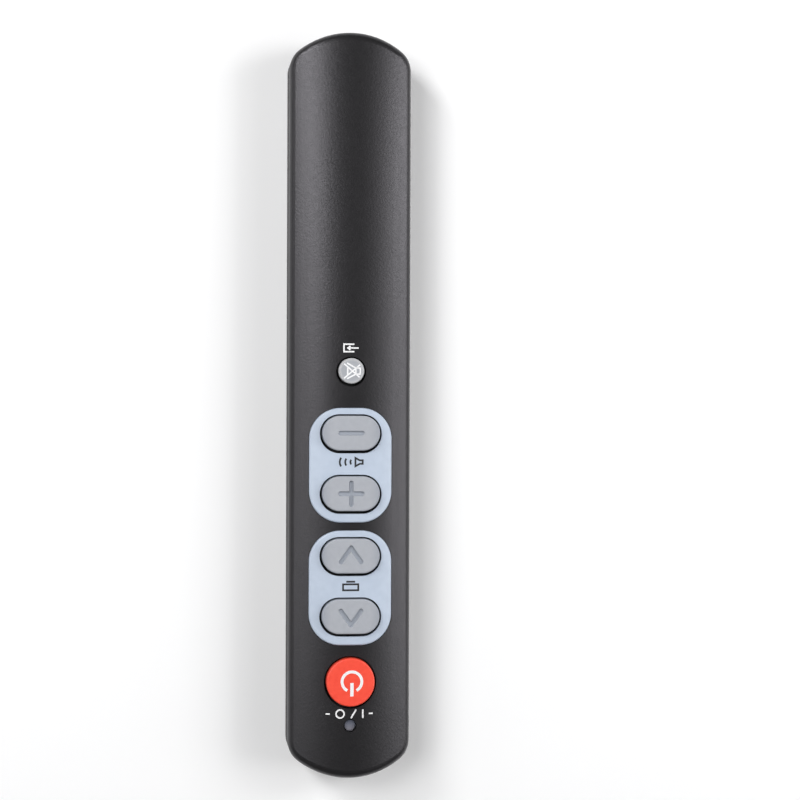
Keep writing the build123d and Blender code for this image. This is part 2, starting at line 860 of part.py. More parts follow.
def driver_transistor():
    """The small transistor that drives the infrared diode."""
    top = board_bottom - chip_standoff
    half_x, half_y = transistor_length / 2, transistor_width / 2
    y = board_front_y - transistor_from_front
    body = between((-half_x, y - half_y, top - transistor_height), (half_x, y + half_y, top))
    half = transistor_pin_width / 2
    for x, side in ((-half_x / 2, -1), (half_x / 2, -1), (0, 1)):
        edge_y = y + side * half_y
        tip_y = edge_y + side * transistor_pin_reach
        low_y, high_y = min(edge_y, tip_y), max(edge_y, tip_y)
        low = (x - half, low_y, board_bottom - pin_thickness)
        body += between(low, (x + half, high_y, board_bottom))
        knee = edge_y + side * pin_thickness
        low_y, high_y = min(edge_y, knee), max(edge_y, knee)
        body += between((x - half, low_y, top - transistor_height / 2), (x + half, high_y, board_bottom))
    return body


def chip_resistors():
    """A row of flat resistors under the board."""
    blocks = []
    for index in range(resistor_count):
        y = board_front_y - resistor_from_front + index * resistor_pitch
        low = (resistor_x - resistor_length / 2, y - resistor_width / 2, board_bottom - resistor_height)
        high = (resistor_x + resistor_length / 2, y + resistor_width / 2, board_bottom)
        blocks.append(between(low, high))
    return Compound(blocks)


def infrared_diode():
    """A clear round diode with a domed nose in the front hole, and its two bent leads."""
    radius = diode_diameter / 2
    straight = diode_length - radius
    body = extrude(Circle(radius), straight) + Pos(0, 0, straight) * Sphere(radius)
    body += extrude(Circle(diode_rim_diameter / 2), diode_rim_height)
    body = Pos(0, diode_back_y, diode_z) * (Rot(-90, 0, 0) * body)
    half = diode_lead / 2
    for x in (-diode_lead_pitch / 2, diode_lead_pitch / 2):
        run_tail = lead_y - half
        body += between(
            (x - half, run_tail, diode_z - half), (x + half, diode_back_y + half, diode_z + half)
        )
        lead_top = board_top + diode_lead_proud
        body += between(
            (x - half, run_tail, diode_z - half), (x + half, run_tail + diode_lead, lead_top)
        )
    return body


def indicator_lens():
    """The grey light guide behind the small hole at the front."""
    top = case_height - lens_sunk
    foot = board_top + lamp_height + lens_lamp_gap
    stem = rod(0, lens_y, lens_diameter / 2, foot, top)
    stem = fillet(stem.faces().sort_by(Axis.Z)[-1].edges(), lens_edge_radius)
    roof = case_height - wall
    flange = rod(0, lens_y, lens_flange_diameter / 2, roof - lens_flange_height, roof)
    return stem + (flange & under_arch(wall + lens_seat_gap))


def indicator_lamp():
    """The flat lamp on the board under the light guide."""
    half_x, half_y = lamp_length / 2, lamp_width / 2
    return between(
        (-half_x, lens_y - half_y, board_top), (half_x, lens_y + half_y, board_top + lamp_height)
    )


# Cells and contacts

def cell(x, direction):
    """One cell: a can with rounded edges and the raised nub of its positive end."""
    can_length = cell_length - cell_nub_height
    can = Cylinder(cell_radius, can_length)
    can = fillet(can.edges().filter_by(GeomType.CIRCLE), cell_edge_radius)
    can += Pos(0, 0, can_length / 2) * Cylinder(
        cell_nub_diameter / 2, cell_nub_height, align=(Align.CENTER, Align.CENTER, Align.MIN)
    )
    turned = Rot(-90 * direction, 0, 0) * can
    front_limit = bay_front_y - contact_thickness
    if direction > 0:
        middle_y = front_limit - dimple_height - cell_nub_height - can_length / 2
    else:
        middle_y = front_limit - spring_length - can_length / 2
    return Pos(x, middle_y, cell_z) * turned


def contact_plate(x, wall_y, direction, width):
    """A flat metal plate on an end wall of the bay."""
    face_y = wall_y + direction * contact_thickness
    low_y, high_y = min(wall_y, face_y), max(wall_y, face_y)
    half = width / 2
    return between((x - half, low_y, contact_low), (x + half, high_y, contact_high))


def dimple(x, face_y, direction):
    """The raised round spot that the nub of a cell presses on."""
    spot = Cylinder(dimple_diameter / 2, dimple_height, rotation=(90, 0, 0))
    return Pos(x, face_y + direction * dimple_height / 2, cell_z) * spot


def strap(x):
    """The tongue of a front contact, through the wall and onto the board."""
    half = strap_width / 2
    low = (x - half, bay_front_y - contact_thickness, board_top)
    high = (x + half, board_tail_y + strap_solder_length, board_top + contact_thickness)
    return between(low, high)


def positive_contact():
    """The front contact that a nub presses on."""
    body = contact_plate(cell_x, bay_front_y, -1, contact_width)
    body += dimple(cell_x, bay_front_y - contact_thickness, -1)
    return body + strap(cell_x)


def negative_contact():
    """The front contact that carries a spring."""
    return contact_plate(-cell_x, bay_front_y, -1, contact_width) + strap(-cell_x)


def bridge_contact():
    """The tail contact, one plate behind both cells."""
    body = contact_plate(0, bay_tail_y, 1, 2 * cell_x + contact_width)
    return body + dimple(-cell_x, bay_tail_y + contact_thickness, 1)


def spring_point(turn):
    """A point on the middle line of a contact spring, its axis along +Z from the base."""
    share = turn / spring_turns
    radius = spring_base_radius + (spring_tip_radius - spring_base_radius) * share
    climb = spring_length - spring_wire
    angle = 2 * pi * turn
    return Vector(radius * cos(angle), radius * sin(angle), spring_wire / 2 + climb * share)


def spring_tangent(turn):
    """The direction of that line."""
    share = 1 / 10000
    return (spring_point(turn + share) - spring_point(turn - share)).normalized()


def biarc(start, start_tangent, end, end_tangent):
    """Two arcs from one point to another that keep the direction at both."""
    chord = end - start
    sum_of_tangents = start_tangent + end_tangent
    spread = 2 * (1 - start_tangent.dot(end_tangent))
    across = chord.dot(sum_of_tangents)
    reach = (sqrt(across**2 + spread * chord.dot(chord)) - across) / spread
    joint = (start + end + (start_tangent - end_tangent) * reach) / 2
    first = TangentArc(start, joint, tangent=start_tangent)
    second = TangentArc(joint, end, tangent=first % 1)
    return [first, second]


def contact_spring():
    """A short conical spring of round wire, its axis along +Z, its wide end at the plate."""
    quarter_count = 4 * spring_turns
    arcs = []
    for index in range(quarter_count):
        start, end = index / 4, (index + 1) / 4
        arcs += biarc(
            spring_point(start), spring_tangent(start), spring_point(end), spring_tangent(end)
        )
    tail_end = spring_point(0) - spring_tangent(0) * spring_wire
    tip_end = spring_point(spring_turns) + spring_tangent(spring_turns) * spring_wire
    path = Wire([Line(tail_end, spring_point(0)), *arcs, Line(spring_point(spring_turns), tip_end)])
    section = Plane(tail_end, z_dir=spring_tangent(0)) * Circle(spring_wire / 2)
    return sweep(section, path)


def front_spring():
    """The spring behind the flat end of one cell."""
    base_y = bay_front_y - contact_thickness
    return Pos(-cell_x, base_y, cell_z) * (Rot(90, 0, 0) * contact_spring())


def tail_spring():
    """The spring behind the flat end of the other cell."""
    base_y = bay_tail_y + contact_thickness
    return Pos(cell_x, base_y, cell_z) * (Rot(-90, 0, 0) * contact_spring())


def print_spring_gap():
    """The least gap between the turns of a contact spring, measured on points of its line."""
    steps_per_turn = 72
    points = [spring_point(i / steps_per_turn) for i in range(spring_turns * steps_per_turn + 1)]
    apart = steps_per_turn // 2
    gaps = [
        (a - b).length for i, a in enumerate(points) for b in points[i + apart :]
    ]
    print("least gap between the turns of a contact spring, mm:", round(min(gaps) - spring_wire, 2))


# Screws

def screw(x, y, head_low, length):
    """A cross-headed screw that points up, its head below."""
    head_high = head_low + screw_head_height
    body = rod(x, y, screw_head_diameter / 2, head_low, head_high)
    body += rod(x, y, screw_diameter / 2, head_high, head_high + length)
    half_long, half_wide = screw_head_diameter / 3, screw_slot_width / 2
    slot_top = head_low + screw_slot_depth
    body -= between((x - half_long, y - half_wide, head_low), (x + half_long, y + half_wide, slot_top))
    return body - between((x - half_wide, y - half_long, head_low), (x + half_wide, y + half_long, slot_top))


def case_screws():
    """The two screws that close the case, under the cover."""
    screws = [screw(0, y, bay_low, case_screw_length) for y in (front_screw_y, tail_screw_y)]
    return Compound(screws)


def board_screws():
    """The four screws that hold the board to the upper case."""
    head_low = board_bottom - screw_head_height
    return Compound([screw(x, y, head_low, board_screw_length) for x, y in board_screw_places()])


os.makedirs("parts", exist_ok=True)
print_spring_gap()
pieces = {
    "upper_case": upper_case(),
    "lower_case": lower_case(),
    "battery_cover": battery_cover(),
    "volume_plate": plate(volume_plate_y, ("volume_down_key", "volume_up_key")),
    "channel_plate": plate(channel_plate_y, ("channel_down_key", "channel_up_key")),
    "keypad_mat": keypad_mat(),
    "circuit_board": circuit_board(),
    "contact_pads": contact_pads(),
    "controller_chip": chip(chip_from_front, chip_length, chip_width, chip_height, chip_pins_per_side),
    "memory_chip": chip(
        memory_from_front, memory_length, memory_width, memory_height, memory_pins_per_side
    ),
    "ceramic_resonator": ceramic_resonator(),
    "electrolytic_capacitor": electrolytic_capacitor(),
    "driver_transistor": driver_transistor(),
    "chip_resistors": chip_resistors(),
    "infrared_diode": infrared_diode(),
    "indicator_lens": indicator_lens(),
    "indicator_lamp": indicator_lamp(),
    "left_cell": cell(-cell_x, -1),
    "right_cell": cell(cell_x, 1),
    "positive_contact": positive_contact(),
    "negative_contact": negative_contact(),
    "bridge_contact": bridge_contact(),
    "front_spring": front_spring(),
    "tail_spring": tail_spring(),
    "case_screws": case_screws(),
    "board_screws": board_screws(),
}
for name, y, outline, top, mark in key_table():
    pill_width = pill_width_of(name)
    pieces[name] = key(y, outline, top, mark, pill_width)
    pieces[name.replace("_key", "_web")] = key_web(y, outline)
    pieces[name.replace("_key", "_pill")] = carbon_pill(y, pill_width)
for name, piece in pieces.items():
    export_step(piece, f"parts/{name}.step")
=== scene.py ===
import bpy
import bmesh
from math import ceil, cos, pi, radians, sin, sqrt
from mathutils import Matrix, Vector


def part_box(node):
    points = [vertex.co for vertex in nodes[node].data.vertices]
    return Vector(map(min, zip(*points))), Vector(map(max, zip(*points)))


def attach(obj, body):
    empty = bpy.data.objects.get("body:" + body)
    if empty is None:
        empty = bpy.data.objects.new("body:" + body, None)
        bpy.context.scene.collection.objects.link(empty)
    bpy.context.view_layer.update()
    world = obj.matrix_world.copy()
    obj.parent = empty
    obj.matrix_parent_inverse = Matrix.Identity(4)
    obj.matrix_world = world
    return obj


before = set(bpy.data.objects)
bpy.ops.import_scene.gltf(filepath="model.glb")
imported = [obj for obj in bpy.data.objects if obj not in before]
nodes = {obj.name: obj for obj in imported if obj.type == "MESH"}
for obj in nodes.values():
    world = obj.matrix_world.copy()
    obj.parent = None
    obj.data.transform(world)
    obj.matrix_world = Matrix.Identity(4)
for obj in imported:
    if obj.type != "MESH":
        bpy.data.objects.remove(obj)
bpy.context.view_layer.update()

# The case: two shells of black moulding and the battery cover, all of one plastic. The mould is
# spark-eroded, so the outside has a fine even grain and a dull gloss, duller still low on the
# flanks. Hooks and two screws close the shells, and the cover slides on from the tail.

MM = 0.001
noise_low = 0.3
noise_high = 0.7
shade_low = 0.35
shade_high = 0.65


def new_finish(name, roughness, metallic=0.0):
    """A material with its shader, ready for its grain."""
    material = bpy.data.materials.new(name)
    material.use_nodes = True
    shader = material.node_tree.nodes["Principled BSDF"]
    shader.inputs["Roughness"].default_value = roughness
    shader.inputs["Metallic"].default_value = metallic
    return material, shader


def add_node(material, kind, **values):
    """A node of the material with some of its inputs set."""
    node = material.node_tree.nodes.new(kind)
    for name, value in values.items():
        node.inputs[name.replace("_", " ")].default_value = value
    return node


def link(material, source, target):
    """Joins an output to an input."""
    material.node_tree.links.new(source, target)


def grain(material, size, detail=2.0, stretch=(1, 1, 1)):
    """An even noise whose grains have this size in metres, laid over the piece."""
    place = add_node(material, "ShaderNodeTexCoord")
    scaled = add_node(material, "ShaderNodeMapping", Scale=stretch)
    noise = add_node(material, "ShaderNodeTexNoise", Scale=1 / size, Detail=detail)
    link(material, place.outputs["Object"], scaled.inputs["Vector"])
    link(material, scaled.outputs["Vector"], noise.inputs["Vector"])
    return noise.outputs["Fac"]


def ranged(material, source, start, end, low=0.0, high=1.0):
    """A value that goes straight from low to high as its source goes from start to end."""
    rise = add_node(
        material, "ShaderNodeMapRange", From_Min=start, From_Max=end, To_Min=low, To_Max=high
    )
    link(material, source, rise.inputs["Value"])
    return rise.outputs["Result"]


def spread(material, source, low, high):
    """Takes a noise to a value between two limits."""
    return ranged(material, source, noise_low, noise_high, low, high)


def place_along(material, axis, start, end, low=0.0, high=1.0):
    """A value that goes straight from low at one place along an axis to high at another."""
    place = add_node(material, "ShaderNodeTexCoord")
    split = add_node(material, "ShaderNodeSeparateXYZ")
    link(material, place.outputs["Object"], split.inputs["Vector"])
    return ranged(material, split.outputs[axis], start, end, low, high)


def summed(material, first, second):
    """The sum of two values."""
    total = add_node(material, "ShaderNodeMath")
    link(material, first, total.inputs[0])
    link(material, second, total.inputs[1])
    return total.outputs["Value"]


def blend_shades(material, source, shades):
    """One of two shades turning into the other with a noise."""
    ramp = add_node(material, "ShaderNodeValToRGB")
    for stop, place, shade in zip(ramp.color_ramp.elements, (shade_low, shade_high), shades):
        stop.position = place
        stop.color = (*shade, 1)
    link(material, source, ramp.inputs["Fac"])
    return ramp.outputs["Color"]


def colour(material, shader, source, shades):
    """Colours the surface between two shades with a noise."""
    link(material, blend_shades(material, source, shades), shader.inputs["Base Color"])


def emboss(material, shader, source, depth):
    """Lets a noise stand up from the surface by this depth, over what already does."""
    bump = add_node(material, "ShaderNodeBump", Distance=depth)
    link(material, source, bump.inputs["Height"])
    before = shader.inputs["Normal"].links
    if before:
        link(material, before[0].from_socket, bump.inputs["Normal"])
    link(material, bump.outputs["Normal"], shader.inputs["Normal"])


def dress(material, *names):
    """Gives a finish to pieces of the model."""
    for name in names:
        mesh = nodes[name].data
        mesh.materials.clear()
        mesh.materials.append(material)


spark_grain = 0.2 * MM
spark_depth = 0.012 * MM
speckle_size = 0.55 * MM
speckle_depth = 0.02 * MM
mottle_size = 1.1 * MM
case_blacks = ((0.0125, 0.012, 0.0128), (0.0165, 0.016, 0.0168))
case_roughness = 0.34
case_swing = 0.02
flank_low = 9.5 * MM
flank_high = 12.5 * MM
flank_dullness = 0.22
sheen_tint = (0.96, 0.935, 1.0, 1)

case_plastic, shader = new_finish("case_plastic", case_roughness)
fine = grain(case_plastic, spark_grain, detail=3.0)
mottle = grain(case_plastic, mottle_size, detail=3.0)
speckle = grain(case_plastic, speckle_size, detail=1.0)
colour(case_plastic, shader, fine, case_blacks)
uneven = spread(case_plastic, mottle, case_roughness - case_swing, case_roughness + case_swing)
duller = place_along(case_plastic, "Z", flank_low, flank_high, flank_dullness, 0.0)
link(case_plastic, summed(case_plastic, uneven, duller), shader.inputs["Roughness"])
emboss(case_plastic, shader, fine, spark_depth)
emboss(case_plastic, shader, speckle, speckle_depth)
shader.inputs["Specular Tint"].default_value = sheen_tint
dress(case_plastic, "upper_case", "lower_case", "battery_cover")

# The two plates: pale blue mouldings with a satin finish, pressed into shallow beds in the top.
# Their rounded rims stand a little above the case.

plate_blues = ((0.48, 0.552, 0.663), (0.508, 0.58, 0.692))
plate_roughness = 0.38
plate_swing = 0.04


def uneven_gloss(material, shader, source, roughness, swing):
    """Lets the roughness swing either side of its middle value with a noise."""
    link(
        material, spread(material, source, roughness - swing, roughness + swing),
        shader.inputs["Roughness"],
    )


plate_plastic, shader = new_finish("plate_plastic", plate_roughness)
fine = grain(plate_plastic, spark_grain)
colour(plate_plastic, shader, grain(plate_plastic, 2 * mottle_size), plate_blues)
uneven_gloss(plate_plastic, shader, fine, plate_roughness, plate_swing)
emboss(plate_plastic, shader, fine, spark_depth / 2)
dress(plate_plastic, "volume_plate", "channel_plate")

# The keypad: silicone rubber with coloured keys and thin webs on a black mat. Each key is painted
# black low down, round its skirt, as shade in the deep gap round it. The long and the mute key are
# grey, the power key is red. The signs of the long keys are sunk, with painted shade on their
# floors, and the mute key has a painted highlight round its rim.

rubber_grain = 0.22 * MM
rubber_depth = 0.003 * MM
rubber_swing = 0.04
skin_reach = (0.5, 0.45, 0.4)
skirt_thickness = 0.9 * MM
skirt_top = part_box("power_web")[1].z + skirt_thickness
skirt_fade = 0.1 * MM
# Painted shade: each key is black low down, below the top of its skirt, where the gap round it lies
# in deep shade.
skirt_shade = (0.012, 0.012, 0.013)
sign_floor = 0.42 * MM
sign_rim = 0.17 * MM
mute_rim = (2.2 * MM, 2.6 * MM)
key_greys = ((0.395, 0.412, 0.45), (0.415, 0.432, 0.47))
# Painted shade: the floors of the sunk signs are darker, as shade down in the grooves.
sign_floor_shade = (0.31, 0.335, 0.385)
mute_greys = ((0.375, 0.39, 0.42), (0.395, 0.41, 0.44))
# Painted highlight: the mute key is paler round its rounded rim, as light catching the edge.
rim_highlight = (0.48, 0.485, 0.5)
power_reds = ((0.92, 0.07, 0.036), (0.96, 0.083, 0.044))
mat_blacks = ((0.012, 0.012, 0.013), (0.02, 0.02, 0.021))
long_keys = ("volume_down_key", "volume_up_key", "channel_down_key", "channel_up_key")
webs = [name for name in nodes if name.endswith("_web")]


def mixed(material, factor, first, second):
    """The first of two colours where the factor is 0, the second where it is 1."""
    mix = add_node(material, "ShaderNodeMix")
    mix.data_type = "RGBA"
    sockets = {socket.identifier: socket for socket in (*mix.inputs, *mix.outputs)}
    link(material, factor, sockets["Factor_Float"])
    for shade, socket in ((first, sockets["A_Color"]), (second, sockets["B_Color"])):
        if isinstance(shade, tuple):
            socket.default_value = (*shade, 1)
        else:
            link(material, shade, socket)
    return sockets["Result_Color"]


def off_middle(material, middle, near, far):
    """0 within one distance of an upright line through the piece, 1 beyond another."""
    place = add_node(material, "ShaderNodeTexCoord")
    moved = add_node(
        material, "ShaderNodeMapping", Location=(-middle[0], -middle[1], 0), Scale=(1, 1, 0)
    )
    distance = add_node(material, "ShaderNodeVectorMath")
    distance.operation = "LENGTH"
    link(material, place.outputs["Object"], moved.inputs["Vector"])
    link(material, moved.outputs["Vector"], distance.inputs[0])
    return ranged(material, distance.outputs["Value"], near, far)


def middle_of(name):
    """The middle of a piece, seen from above."""
    low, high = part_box(name)
    return (low.x + high.x) / 2, (low.y + high.y) / 2


def rubber(name, shades, roughness=0.52, glow=0.06, key=None, sunk=None, rim=None):
    """Silicone rubber: soft gloss and a trace of light carried under the skin, painted black as
    shade below the skirt; sunk sign floors can get painted shade, and a round key's rim a painted
    highlight."""
    material, shader = new_finish(name, roughness)
    fine = grain(material, rubber_grain)
    skin = blend_shades(material, grain(material, mottle_size, detail=3.0), shades)
    if sunk:
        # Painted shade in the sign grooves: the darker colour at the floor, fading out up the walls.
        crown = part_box(key)[1].z
        raised = place_along(material, "Z", crown - sign_floor, crown - sign_rim)
        skin = mixed(material, raised, sunk, skin)
    if rim:
        # Painted highlight on the rim of a round key, paler between two distances from its middle.
        skin = mixed(material, off_middle(material, middle_of(key), *mute_rim), skin, rim)
    # Painted shade in the gap round the key: black below the top of the skirt.
    above_skirt = place_along(material, "Z", skirt_top, skirt_top + skirt_fade)
    link(material, mixed(material, above_skirt, skirt_shade, skin), shader.inputs["Base Color"])
    uneven_gloss(material, shader, fine, roughness, rubber_swing)
    emboss(material, shader, fine, rubber_depth)
    shader.inputs["Subsurface Weight"].default_value = glow
    shader.inputs["Subsurface Radius"].default_value = skin_reach
    shader.inputs["Subsurface Scale"].default_value = MM
    return material


dress(rubber("key_rubber", key_greys, key=long_keys[0], sunk=sign_floor_shade), *long_keys)
dress(rubber("mute_rubber", mute_greys, key="av_mute_key", rim=rim_highlight), "av_mute_key")
dress(rubber("power_rubber", power_reds, roughness=0.5), "power_key")
dress(rubber("mat_rubber", mat_blacks, roughness=0.6, glow=0), "keypad_mat", *webs)

# The carbon pills: black conductive discs, moulded into the ends of the keys' plungers.
# Each one joins two combs of the circuit board when its key goes down.

carbon_blacks = ((0.008, 0.008, 0.008), (0.02, 0.02, 0.021))

carbon, shader = new_finish("carbon", roughness=0.6)
soot = grain(carbon, spark_grain)
colour(carbon, shader, soot, carbon_blacks)
emboss(carbon, shader, soot, rubber_depth)
dress(carbon, *[name for name in nodes if name.endswith("_pill")])

# The prints on the round keys: a power sign and a crossed-out loudspeaker, printed in white ink.
# Each is a thin film that follows the arched rubber under it.

ink_above = 0.008 * MM
ink_below = 0.03 * MM
ink_step = 0.2 * MM
ink_roughness = 0.45
white_shades = ((0.86, 0.86, 0.87), (0.94, 0.94, 0.95))
same_place = 1e-9
mitre_limit = 0.5
arc_steps = 32
straight_up = 90
whole_turn = 360
key_crown_radius = 60 * MM


def key_height(name, x):
    """The height of a round key's arched top at a distance from the middle plane."""
    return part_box(name)[1].z - key_crown_radius + sqrt(key_crown_radius**2 - x**2)


def resampled(points, step):
    """The same line with points no further apart than a step."""
    line = [points[0]]
    for start, end in zip(points, points[1:]):
        count = max(1, ceil((Vector(end[:2]) - Vector(start[:2])).length / step))
        for index in range(1, count + 1):
            share = index / count
            line.append(tuple(a + (b - a) * share for a, b in zip(start, end)))
    return line


def ink_line(mesh, points, place, height):
    """A stroke of ink: points are (across, along, width), drawn from a place on the surface."""
    line = resampled(points, ink_step)
    closed = (Vector(line[0][:2]) - Vector(line[-1][:2])).length < same_place
    if closed:
        line = line[:-1]
    rings = []
    count = len(line)
    for index, (across, along, width) in enumerate(line):
        before = line[(index - 1) % count] if closed or index > 0 else line[index]
        after = line[(index + 1) % count] if closed or index < count - 1 else line[index]
        here = Vector((across, along))
        into = here - Vector(before[:2])
        out = Vector(after[:2]) - here
        if into.length == 0:
            into = out
        if out.length == 0:
            out = into
        first = Vector((-into.y, into.x)).normalized()
        second = Vector((-out.y, out.x)).normalized()
        side = (first + second).normalized()
        side *= width / 2 / max(side.dot(first), mitre_limit)
        ring = []
        for edge, drop in ((-side, 0), (side, 0), (side, 1), (-side, 1)):
            x = place[0] + here.x + edge.x
            y = place[1] + here.y + edge.y
            z = height(x) + ink_above - drop * (ink_above + ink_below)
            ring.append(mesh.verts.new((x, y, z)))
        rings.append(ring)
    pairs = list(zip(rings, rings[1:]))
    if closed:
        pairs.append((rings[-1], rings[0]))
    for first, second in pairs:
        for corner in range(len(first)):
            nearby = (corner + 1) % len(first)
            mesh.faces.new((first[corner], second[corner], second[nearby], first[nearby]))
    if not closed:
        mesh.faces.new(rings[0])
        mesh.faces.new(reversed(rings[-1]))


def inked(points, stroke):
    """A line of ink through points in millimetres."""
    return [(x * MM, y * MM, stroke) for x, y in points]


def arc(centre, radius, start, end, stroke):
    """A line of ink on an arc, its angles in degrees from the right, anticlockwise."""
    turns = [radians(start + (end - start) * index / arc_steps) for index in range(arc_steps + 1)]
    return [(centre[0] + radius * cos(t), centre[1] + radius * sin(t), stroke) for t in turns]


def printed(name, ink, lines, place, height, body):
    """A print made of strokes of ink, on a surface of this height."""
    strokes = bmesh.new()
    for line in lines:
        ink_line(strokes, line, place, height)
    bmesh.ops.recalc_face_normals(strokes, faces=strokes.faces)
    mesh = bpy.data.meshes.new(name)
    strokes.to_mesh(mesh)
    strokes.free()
    mesh.materials.append(ink)
    piece = bpy.data.objects.new(name, mesh)
    bpy.context.scene.collection.objects.link(piece)
    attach(piece, body)
    return piece


def ink_finish(name, shades):
    """Ink with a little unevenness in how thick it lies."""
    material, shader = new_finish(name, ink_roughness)
    patchy = grain(material, rubber_grain)
    colour(material, shader, patchy, shades)
    emboss(material, shader, patchy, rubber_depth)
    return material


white_ink = ink_finish("white_ink", white_shades)

power_x, power_y = middle_of("power_key")
power_sign_x = power_x - 0.26 * MM
power_sign_y = power_y - 0.18 * MM
power_ring_radius = 2.27 * MM
power_ring_stroke = 0.66 * MM
power_ring_gap = 28
power_bar_width = 0.78 * MM
power_bar_low = 0.28 * MM
power_bar_high = 3.34 * MM
power_ring = arc(
    (0, 0), power_ring_radius, straight_up + power_ring_gap,
    straight_up + whole_turn - power_ring_gap, power_ring_stroke,
)
power_bar = [(0, power_bar_low, power_bar_width), (0, power_bar_high, power_bar_width)]
power_sign = printed(
    "power_sign", white_ink, [power_ring, power_bar], (power_sign_x, power_sign_y),
    lambda x: key_height("power_key", x), "power_key",
)

mute_stroke = 0.34 * MM
mute_outlines = {
    "magnet": [(-0.98, -0.64), (-1.99, -0.64), (-1.99, 0.74), (-0.98, 0.74), (-0.98, -0.64)],
    "lower horn": [(-0.98, -0.64), (1.06, -1.8)],
    "upper horn": [(-0.98, 0.74), (1.06, 1.8)],
    "mouth": [(0.9, -1.05), (0.9, 1.05)],
    "falling bar": [(1.7, -1.62), (-1.85, 1.47)],
    "rising bar": [(1.74, 1.7), (-1.95, -1.4)],
}
mute_sign = printed(
    "mute_sign", white_ink, [inked(points, mute_stroke) for points in mute_outlines.values()],
    middle_of("av_mute_key"), lambda x: key_height("av_mute_key", x), "av_mute_key",
)

# Four plain signs on the case and the plates say what the keys do: a source going into a set, the
# sound, the set's own channels, and off or on. They are tampon printed in white or in black.

case_stroke = 0.34 * MM
plate_stroke = 0.42 * MM
black_shades = ((0.012, 0.012, 0.014), (0.025, 0.025, 0.028))
crown_rise = 3.0 * MM
plate_proud = 0.3 * MM
upper_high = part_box("upper_case")[1]
arch_radius = (upper_high.x**2 + crown_rise**2) / (2 * crown_rise)

black_ink = ink_finish("black_ink", black_shades)


def case_top(x):
    """The height of the arched case at a distance from the middle plane."""
    return upper_high.z - arch_radius + sqrt(arch_radius**2 - x**2)


def plate_top(x):
    """The height of the plates, which stand proud of the case."""
    return upper_high.z - arch_radius + sqrt((arch_radius + plate_proud) ** 2 - x**2)


def midway(first, second):
    """The place along the remote midway between two keys."""
    return (middle_of(first)[1] + middle_of(second)[1]) / 2


source_gap = 5.28 * MM
source_y = middle_of("av_mute_key")[1] - source_gap
source_outlines = {
    "frame": [(-0.7, 0.86), (1.68, 0.86), (1.68, -0.86), (-0.7, -0.86)],
    "arrow": [(-1.72, 0), (0.75, 0)],
    "arrow head": [(0.2, 0.46), (0.78, 0), (0.2, -0.46)],
}
source_lines = [inked(points, case_stroke) for points in source_outlines.values()]
source_sign = printed("source_sign", white_ink, source_lines, (0, source_y), case_top, "root")

sound_gap = 0.3 * MM
sound_y = midway("volume_down_key", "volume_up_key") - sound_gap
loudspeaker = [
    (-2.7, -0.4), (-2.0, -0.4), (-1.0, -0.95), (-1.0, 0.95), (-2.0, 0.4), (-2.7, 0.4), (-2.7, -0.4),
]
wave_tips = (0.15 * MM, 1.35 * MM, 2.6 * MM)
wave_radii = (1.0 * MM, 1.4 * MM, 1.7 * MM)
wave_half_turns = (33, 35, 36)
sound_lines = [inked(loudspeaker, plate_stroke)]
for tip, radius, half_turn in zip(wave_tips, wave_radii, wave_half_turns):
    sound_lines.append(arc((tip - radius, 0), radius, -half_turn, half_turn, plate_stroke))
sound_sign = printed("sound_sign", black_ink, sound_lines, (0, sound_y), plate_top, "root")

screen_gap = 0.03 * MM
screen_y = midway("channel_down_key", "channel_up_key") - screen_gap
screen_outlines = {
    "screen": [(-1.75, -0.38), (1.75, -0.38), (1.75, 0.98), (-1.75, 0.98), (-1.75, -0.38)],
    "foot": [(-1.0, -0.98), (1.0, -0.98)],
}
screen_lines = [inked(points, plate_stroke) for points in screen_outlines.values()]
screen_sign = printed("screen_sign", black_ink, screen_lines, (0, screen_y), plate_top, "root")

on_off_gap = 7.4 * MM
on_off_x = 0.17 * MM
on_off_y = power_y + on_off_gap
off_ring_x = 2.15 * MM
off_ring_radius = 0.93 * MM
on_off_outlines = {
    "left dash": [(-5.45, 0), (-4.5, 0)],
    "on": [(-3.1, -1.0), (-3.1, 1.0)],
    "slash": [(-1.55, -1.0), (-0.35, 1.0)],
    "right dash": [(4.5, 0), (5.45, 0)],
}
on_off_lines = [inked(points, case_stroke) for points in on_off_outlines.values()]
on_off_lines.append(arc((off_ring_x, 0), off_ring_radius, 0, whole_turn, case_stroke))
on_off_sign = printed("on_off_sign", white_ink, on_off_lines, (on_off_x, on_off_y), case_top, "root")

# The light: a smoked guide sunk in its hole, over a flat lamp on the board. It is cool towards the
# keys and warmer towards the front. The infrared diode in the front end is cast in clear resin.

lens_cool = ((0.14, 0.16, 0.215), (0.155, 0.175, 0.235))
lens_warm = (0.205, 0.198, 0.225)
lens_edge = 0.7 * MM
lens_low, lens_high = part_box("indicator_lens")

lens_plastic, shader = new_finish("lens_plastic", roughness=0.3)
haze = grain(lens_plastic, mottle_size)
cool = blend_shades(lens_plastic, haze, lens_cool)
to_front = place_along(lens_plastic, "Y", lens_low.y + lens_edge, lens_high.y - lens_edge)
link(lens_plastic, mixed(lens_plastic, to_front, cool, lens_warm), shader.inputs["Base Color"])
emboss(lens_plastic, shader, haze, rubber_depth)
dress(lens_plastic, "indicator_lens")

resin_shades = ((0.8, 0.82, 0.9), (0.88, 0.9, 0.95))
resin_clearness = 0.85
resin_bending = 1.53

clear_resin, shader = new_finish("clear_resin", roughness=0.08)
shader.inputs["Transmission Weight"].default_value = resin_clearness
shader.inputs["IOR"].default_value = resin_bending
swirl = grain(clear_resin, 2 * mottle_size)
colour(clear_resin, shader, swirl, resin_shades)
emboss(clear_resin, shader, swirl, rubber_depth)
dress(clear_resin, "infrared_diode", "indicator_lamp")

# The circuit board: glass laminate under green solder mask, whose weave shows faintly.
# It is screwed up against bosses that hang from the roof of the case.

